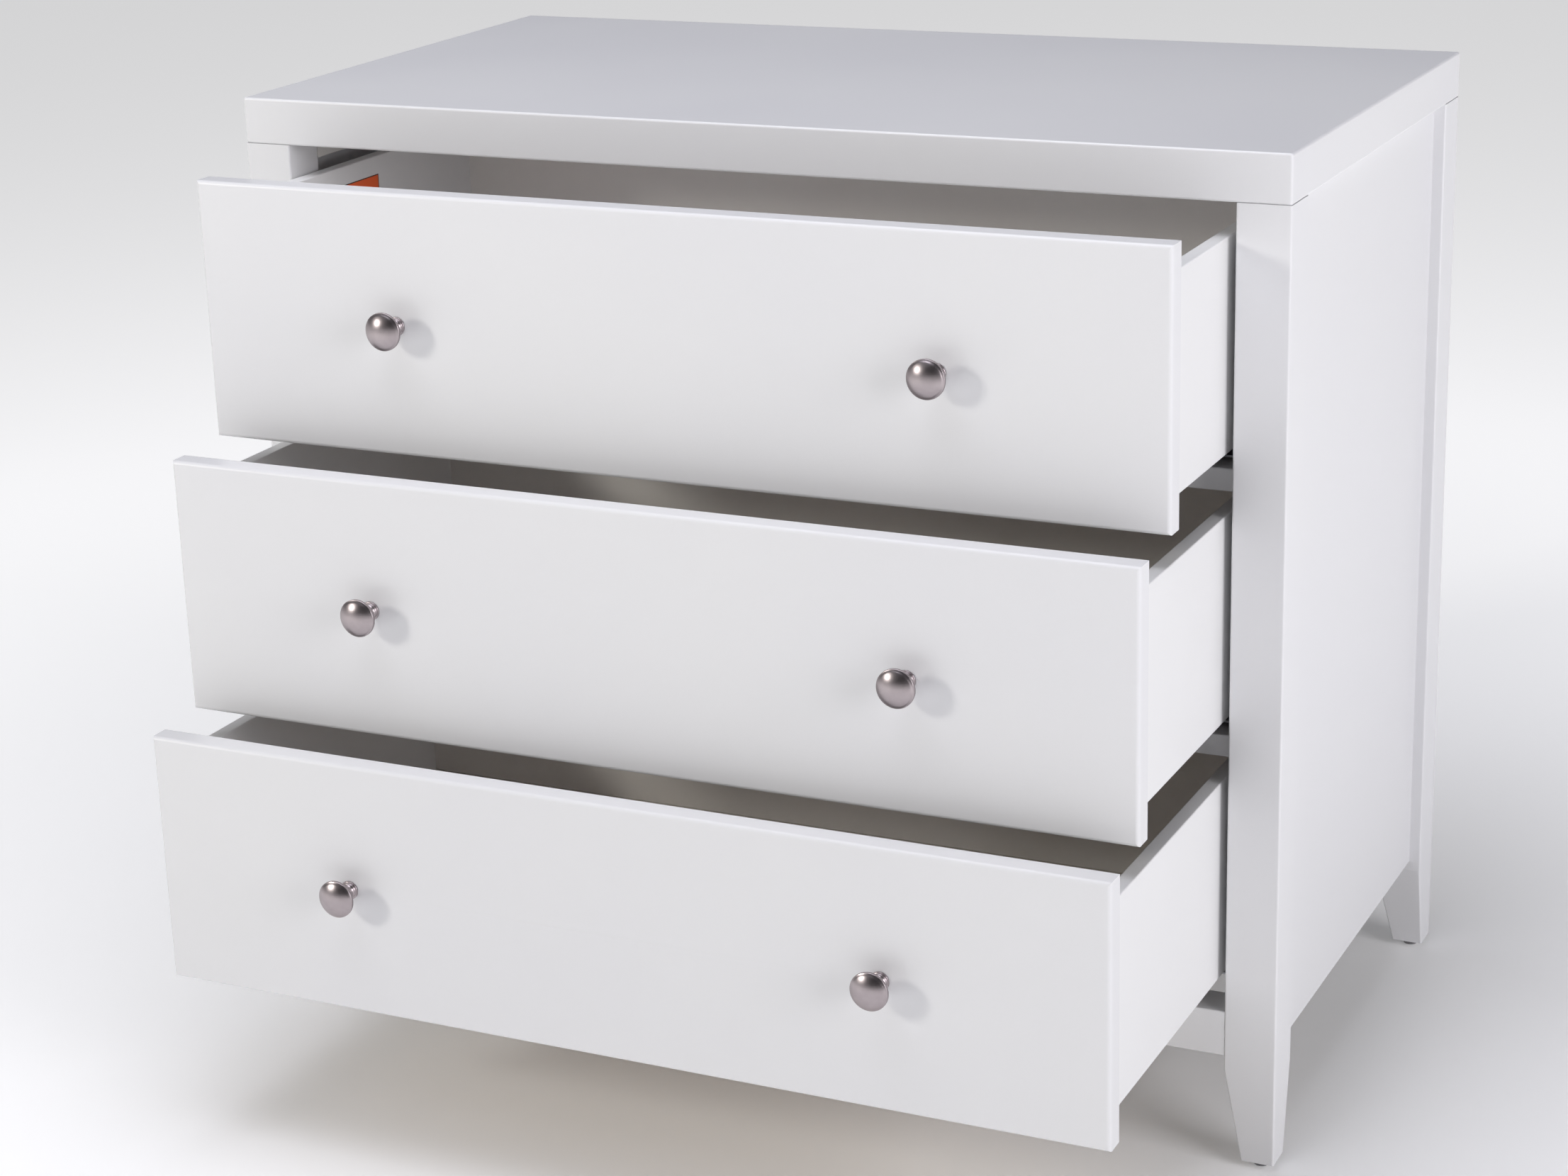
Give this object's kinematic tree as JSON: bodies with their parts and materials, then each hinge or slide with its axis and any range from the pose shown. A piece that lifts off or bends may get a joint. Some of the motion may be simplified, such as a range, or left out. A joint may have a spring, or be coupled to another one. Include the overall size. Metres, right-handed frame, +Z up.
{
  "type": "chest of drawers",
  "caption": "Wide chest with stacked drawers that slide out on concealed ball runners, a thick flush top, square posts that taper into legs, and round mushroom knobs.",
  "frame": {"origin": "on the floor, under the middle of the carcass and midway between the four legs", "axes": "+X to the right of a person who faces the drawers, +Y from the front to the back, +Z up"},
  "size_m": [0.9, 0.7695, 0.816],
  "materials": {
    "white_lacquer": "satin white lacquer on board and solid wood",
    "white_primed_board": "matt white primer on board",
    "warm_white_board": "satin off-white lacquer on board",
    "satin_nickel": "satin nickel plating on a zinc casting",
    "zinc_plated_steel": "zinc-plated sheet and wire steel",
    "bearing_steel": "polished bearing steel",
    "nylon": "moulded natural nylon",
    "grey_nylon": "moulded grey nylon on a steel nail",
    "label_paper": "plain orange paper label"
  },
  "bodies": {
    "carcass": {"top_panel": "white_lacquer", "post_front_left": "white_lacquer", "post_front_right": "white_lacquer", "post_rear_left": "white_lacquer", "post_rear_right": "white_lacquer", "side_panel_left": "white_lacquer", "side_panel_right": "white_lacquer", "back_panel": "white_primed_board", "bottom_rail": "white_lacquer", "rear_rail": "white_lacquer", "divider_rail_lower": "white_lacquer", "divider_rail_upper": "white_lacquer", "cleat_left": "white_primed_board", "cleat_right": "white_primed_board", "bearers_left": "white_primed_board", "bearers_right": "white_primed_board", "glides": "grey_nylon", "runner_screws": "zinc_plated_steel", "lower_cabinet_rails": "zinc_plated_steel", "middle_cabinet_rails": "zinc_plated_steel", "upper_cabinet_rails": "zinc_plated_steel"},
    "lower_drawer": {"lower_front": "white_lacquer", "lower_side_left": "warm_white_board", "lower_side_right": "warm_white_board", "lower_back": "warm_white_board", "lower_bottom": "warm_white_board", "lower_knob_left": "satin_nickel", "lower_knob_right": "satin_nickel", "lower_knob_screws": "zinc_plated_steel", "lower_drawer_rails": "zinc_plated_steel"},
    "lower_ball_carriage": {"lower_ball_cages": "nylon", "lower_balls": "bearing_steel"},
    "middle_drawer": {"middle_front": "white_lacquer", "middle_side_left": "warm_white_board", "middle_side_right": "warm_white_board", "middle_back": "warm_white_board", "middle_bottom": "warm_white_board", "middle_knob_left": "satin_nickel", "middle_knob_right": "satin_nickel", "middle_knob_screws": "zinc_plated_steel", "middle_drawer_rails": "zinc_plated_steel"},
    "middle_ball_carriage": {"middle_ball_cages": "nylon", "middle_balls": "bearing_steel"},
    "upper_drawer": {"upper_front": "white_lacquer", "upper_side_left": "warm_white_board", "upper_side_right": "warm_white_board", "upper_back": "warm_white_board", "upper_bottom": "warm_white_board", "upper_knob_left": "satin_nickel", "upper_knob_right": "satin_nickel", "upper_knob_screws": "zinc_plated_steel", "upper_drawer_rails": "zinc_plated_steel", "drawer_label": "label_paper"},
    "upper_ball_carriage": {"upper_ball_cages": "nylon", "upper_balls": "bearing_steel"}
  },
  "joints": [
    {"name": "lower_drawer_slide", "type": "slide", "parent": "carcass", "child": "lower_drawer", "axis": [0, -1, 0], "range_m": [-0.259, 0.041]},
    {"name": "lower_carriage_roll", "type": "slide", "parent": "carcass", "child": "lower_ball_carriage", "axis": [0, -1, 0], "range_m": [-0.1296, 0.0206]},
    {"name": "middle_drawer_slide", "type": "slide", "parent": "carcass", "child": "middle_drawer", "axis": [0, -1, 0], "range_m": [-0.2005, 0.0995]},
    {"name": "middle_carriage_roll", "type": "slide", "parent": "carcass", "child": "middle_ball_carriage", "axis": [0, -1, 0], "range_m": [-0.10035, 0.04985]},
    {"name": "upper_drawer_slide", "type": "slide", "parent": "carcass", "child": "upper_drawer", "axis": [0, -1, 0], "range_m": [-0.136, 0.164]},
    {"name": "upper_carriage_roll", "type": "slide", "parent": "carcass", "child": "upper_ball_carriage", "axis": [0, -1, 0], "range_m": [-0.0681, 0.0821]}
  ],
  "couplings": [
    {"joint": "lower_carriage_roll", "follows": "lower_drawer_slide", "ratio": 0.5},
    {"joint": "middle_carriage_roll", "follows": "middle_drawer_slide", "ratio": 0.5},
    {"joint": "upper_carriage_roll", "follows": "upper_drawer_slide", "ratio": 0.5}
  ]
}
